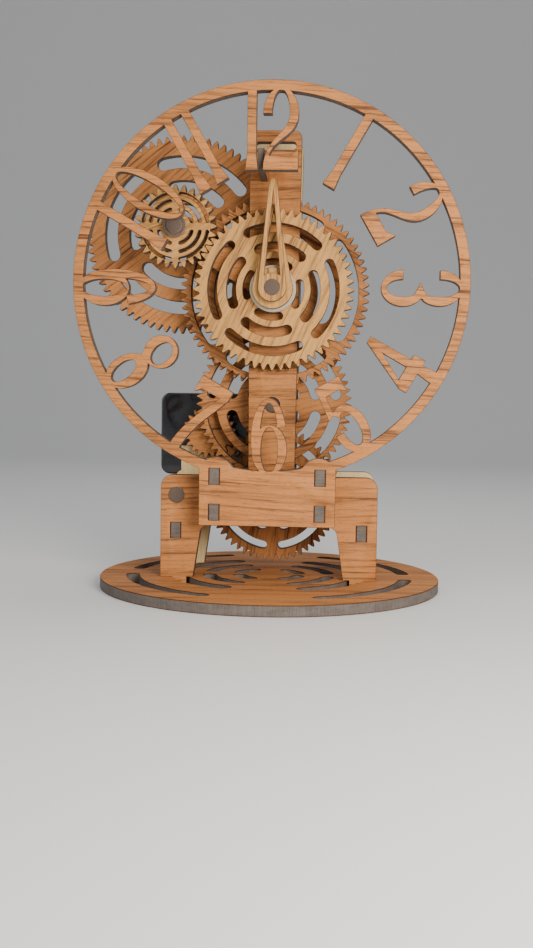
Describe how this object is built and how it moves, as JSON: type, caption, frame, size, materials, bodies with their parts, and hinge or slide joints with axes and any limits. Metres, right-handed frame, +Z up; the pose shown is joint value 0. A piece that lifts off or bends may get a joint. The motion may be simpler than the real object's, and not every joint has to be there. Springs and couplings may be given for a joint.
{
  "type": "wooden gear clock model kit",
  "caption": "Laser-cut wooden gear clock with a cut-out numeral dial, exposed gear train on dowel arbors, two hands, a slotted round base and a small motor box behind",
  "frame": {"origin": "centre of the round base's underside, where the clock rests", "axes": "+Z up; the dial faces -Y; +X to the right as the dial is read; every arbor runs along Y"},
  "size_m": [0.2384, 0.208, 0.2968],
  "materials": {
    "walnut_sheet": "satin walnut-faced sheet with dark laser-cut edges",
    "blond_sheet": "satin pale wood sheet with brown laser-cut edges",
    "maple_sheet": "pale yellowish sheet with brown laser-cut edges",
    "dowel_wood": "bare hardwood dowel with sanded ends",
    "pale_disc": "bare pale turned wood",
    "black_plastic": "glossy black moulding",
    "steel": "plain steel",
    "cell_sleeve": "plain battery sleeve"
  },
  "bodies": {
    "stand": {"base_disc": "walnut_sheet", "stand_front": "walnut_sheet", "rear_frame": "maple_sheet", "leg_rail_left": "walnut_sheet", "leg_rail_right": "walnut_sheet", "dial_rail_left": "walnut_sheet", "dial_rail_right": "walnut_sheet", "dial_plate": "walnut_sheet", "column_front": "walnut_sheet", "top_spacer": "walnut_sheet", "dial_stay": "walnut_sheet", "leg_peg": "dowel_wood", "motor_housing": "black_plastic", "motor_cover": "black_plastic", "motor_can": "steel", "battery_cell": "cell_sleeve", "motor_screws": "steel"},
    "motor_rotor": {"motor_shaft": "steel", "motor_pinion": "walnut_sheet"},
    "minute_set": {"minute_arbor": "dowel_wood", "minute_wheel": "walnut_sheet", "cannon_pinion": "walnut_sheet", "minute_hand": "blond_sheet", "minute_spacers": "dowel_wood", "minute_collar": "dowel_wood"},
    "hour_set": {"hour_wheel": "blond_sheet", "hour_sleeve": "pale_disc", "hour_spacer": "pale_disc", "hour_hand": "blond_sheet"},
    "motion_set": {"motion_arbor": "dowel_wood", "motion_wheel": "walnut_sheet", "small_motion_wheel": "blond_sheet", "motion_spacers": "dowel_wood", "motion_collars": "dowel_wood"},
    "lower_set": {"lower_arbor": "dowel_wood", "lower_wheel": "walnut_sheet", "lower_pinion": "walnut_sheet", "lower_spacers": "dowel_wood", "lower_collar": "dowel_wood"},
    "bottom_set": {"bottom_arbor": "dowel_wood", "bottom_wheel": "walnut_sheet", "bottom_pinion": "walnut_sheet", "bottom_spacers": "dowel_wood", "bottom_collar": "dowel_wood"}
  },
  "joints": [
    {"name": "minute_spin", "type": "hinge", "parent": "stand", "child": "minute_set", "pos_m": [0, 0, 0.1818], "axis": [0, 1, 0], "continuous": true},
    {"name": "hour_spin", "type": "hinge", "parent": "stand", "child": "hour_set", "pos_m": [0, 0, 0.1818], "axis": [0, 1, 0], "continuous": true},
    {"name": "motion_spin", "type": "hinge", "parent": "stand", "child": "motion_set", "pos_m": [-0.06055, 0, 0.21964], "axis": [0, 1, 0], "continuous": true},
    {"name": "lower_spin", "type": "hinge", "parent": "stand", "child": "lower_set", "pos_m": [0, 0, 0.1114], "axis": [0, 1, 0], "continuous": true},
    {"name": "bottom_spin", "type": "hinge", "parent": "stand", "child": "bottom_set", "pos_m": [0, 0, 0.0538], "axis": [0, 1, 0], "continuous": true},
    {"name": "motor_spin", "type": "hinge", "parent": "stand", "child": "motor_rotor", "pos_m": [-0.04224, 0, 0.09319], "axis": [0, 1, 0], "continuous": true}
  ],
  "couplings": [
    {"joint": "motion_spin", "follows": "minute_spin", "ratio": -0.16667},
    {"joint": "hour_spin", "follows": "minute_spin", "ratio": 0.083333},
    {"joint": "lower_spin", "follows": "minute_spin", "ratio": -4.5},
    {"joint": "bottom_spin", "follows": "minute_spin", "ratio": 22.5},
    {"joint": "motor_spin", "follows": "minute_spin", "ratio": -60}
  ]
}
